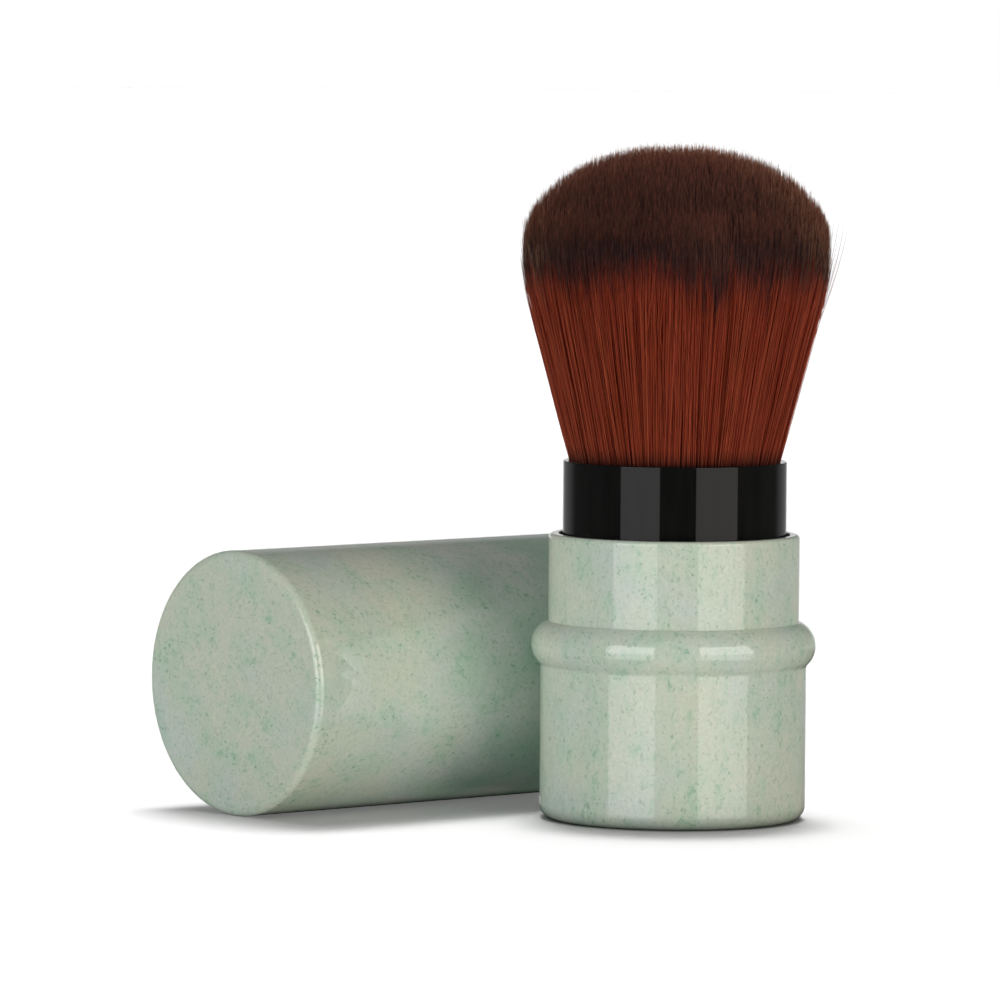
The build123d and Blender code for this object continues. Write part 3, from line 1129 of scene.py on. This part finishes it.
def add_surround():
    """The dim room that shows in the gloss, bright only behind the object."""
    vertices, faces = dome_patch(-180, 180, -90, 90, surround_cells, surround_distance)
    material, light = glow("surround", (1, 1, 1), 1.0)
    tree = material.node_tree
    place = tree.nodes.new("ShaderNodeNewGeometry").outputs["Position"]
    behind = math_node(tree, "DIVIDE", axis_of(tree, place, "Y"), surround_distance)
    angle = math_node(tree, "DIVIDE", math_node(tree, "ARCCOSINE", behind), math.pi)
    stops = [(degrees / 180, (level, level, level)) for degrees, level in surround_levels]
    rise = math_node(tree, "SUBTRACT", axis_of(tree, place, "Z"), studio_middle.z)
    rise = math_node(tree, "DIVIDE", rise, surround_distance)
    dimmed = math_node(tree, "MULTIPLY_ADD", mask(tree, rise, *surround_ceiling), -ceiling_dimming, 1.0)
    shown = math_node(tree, "MULTIPLY", mask(tree, rise, *surround_foot), dimmed)
    feed(tree, light.inputs["Strength"], scaled(tree, ramp(tree, angle, stops), shown))
    gloss_only(stage_mesh("surround", vertices, faces, material))


def add_floor():
    """A plain floor that the camera sees white, with the object's shadow on it."""
    material = bpy.data.materials.new("floor")
    material.use_nodes = True
    tree = material.node_tree
    tree.nodes.clear()
    output = tree.nodes.new("ShaderNodeOutputMaterial")
    path = tree.nodes.new("ShaderNodeLightPath")
    matt = tree.nodes.new("ShaderNodeBsdfDiffuse")
    seen = path.outputs["Is Camera Ray"]
    tone = math_node(tree, "MULTIPLY_ADD", seen, floor_seen - floor_bounce, floor_bounce)
    feed(tree, matt.inputs["Color"], tone)
    feed(tree, output.inputs["Surface"], matt.outputs[0])
    half = floor_half_width
    corners = [(-half, -half, 0), (half, -half, 0), (half, half, 0), (-half, half, 0)]
    floor = stage_mesh("floor", corners, [(0, 1, 2, 3)], material)
    floor.visible_glossy = False
    floor.visible_shadow = False
    return floor


def add_contact_patch(name, points):
    """A dark patch under the floor that no ray but a shadow's meets."""
    corners = [(x, y, -patch_drop) for x, y in points]
    material, _ = glow(name, (0, 0, 0), 0.0)
    patch = stage_mesh(name, corners, [tuple(range(len(corners)))], material)
    gloss_only(patch)
    patch.visible_glossy = False
    patch.visible_shadow = True


def add_contact_patches():
    """One patch round the foot of the brush and one along the cap."""
    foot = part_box("base_cup")[1][0] + foot_patch_margin
    turns = np.linspace(0, 2 * math.pi, foot_patch_corners, endpoint=False)
    add_contact_patch("foot_patch", [(foot * math.cos(turn), foot * math.sin(turn)) for turn in turns])
    middle = (Vector(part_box("cap_shell")[0]) + Vector(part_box("cap_shell")[1])) / 2
    along = Vector((math.cos(cap_heading), math.sin(cap_heading)))
    across = Vector((-along.y, along.x))
    corners = []
    for end, side in ((-1, -1), (1, -1), (1, 1), (-1, 1)):
        corner = middle.xy + along * end * cap_length / 2 + across * side * cap_patch_reach
        corners.append((corner.x, corner.y))
    add_contact_patch("cap_patch", corners)


def add_world():
    """Even light all round, which shows as white to the camera, in gloss and through glass."""
    world = bpy.data.worlds.new("studio")
    bpy.context.scene.world = world
    world.use_nodes = True
    tree = world.node_tree
    tree.nodes.clear()
    output = tree.nodes.new("ShaderNodeOutputWorld")
    path = tree.nodes.new("ShaderNodeLightPath")
    room = tree.nodes.new("ShaderNodeBackground")
    room.inputs["Color"].default_value = (1, 1, 1, 1)
    seen = math_node(tree, "ADD", path.outputs["Is Camera Ray"], path.outputs["Is Glossy Ray"], clamp=True)
    seen = math_node(tree, "ADD", seen, path.outputs["Is Transmission Ray"], clamp=True)
    level = math_node(tree, "MULTIPLY_ADD", seen, 1 - world_level, world_level)
    feed(tree, room.inputs["Strength"], level)
    feed(tree, output.inputs["Surface"], room.outputs[0])


def build_studio():
    """Floor, lamps, cards and world."""
    floor = add_floor()
    add_softboxes(floor)
    add_floor_lights(floor)
    add_cards()
    add_surround()
    add_contact_patches()
    add_world()


def build_camera():
    """The camera at the photograph's viewing angle."""
    back = direction(0, camera_elevation)
    right = Vector((1, 0, 0))
    up = back.cross(right)
    roll = math.radians(camera_roll)
    tilted_right = right * math.cos(roll) + up * math.sin(roll)
    tilted_up = up * math.cos(roll) - right * math.sin(roll)
    data = bpy.data.cameras.new("camera")
    data.sensor_width = sensor_width
    data.lens = focal_pixels * sensor_width / photo_width
    data.clip_start = nearest_seen
    data.clip_end = farthest_seen
    camera = bpy.data.objects.new("camera", data)
    place = Matrix((tilted_right, tilted_up, back)).transposed().to_4x4()
    place.translation = camera_aim + back * camera_distance
    camera.matrix_world = place
    bpy.context.scene.collection.objects.link(camera)
    bpy.context.scene.camera = camera


bpy.context.scene.view_settings.view_transform = "Standard"
dress_nodes()
build_camera()
build_studio()
hair = hair_material()
locks = make_locks()
blocks = [side_block(locks), dome_block(locks), fill_block(locks), stray_block(locks)]
sectors = [build_sector(number, blocks, hair) for number in range(sector_count)]
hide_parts("bristles")
add_rim_lamps(sectors)
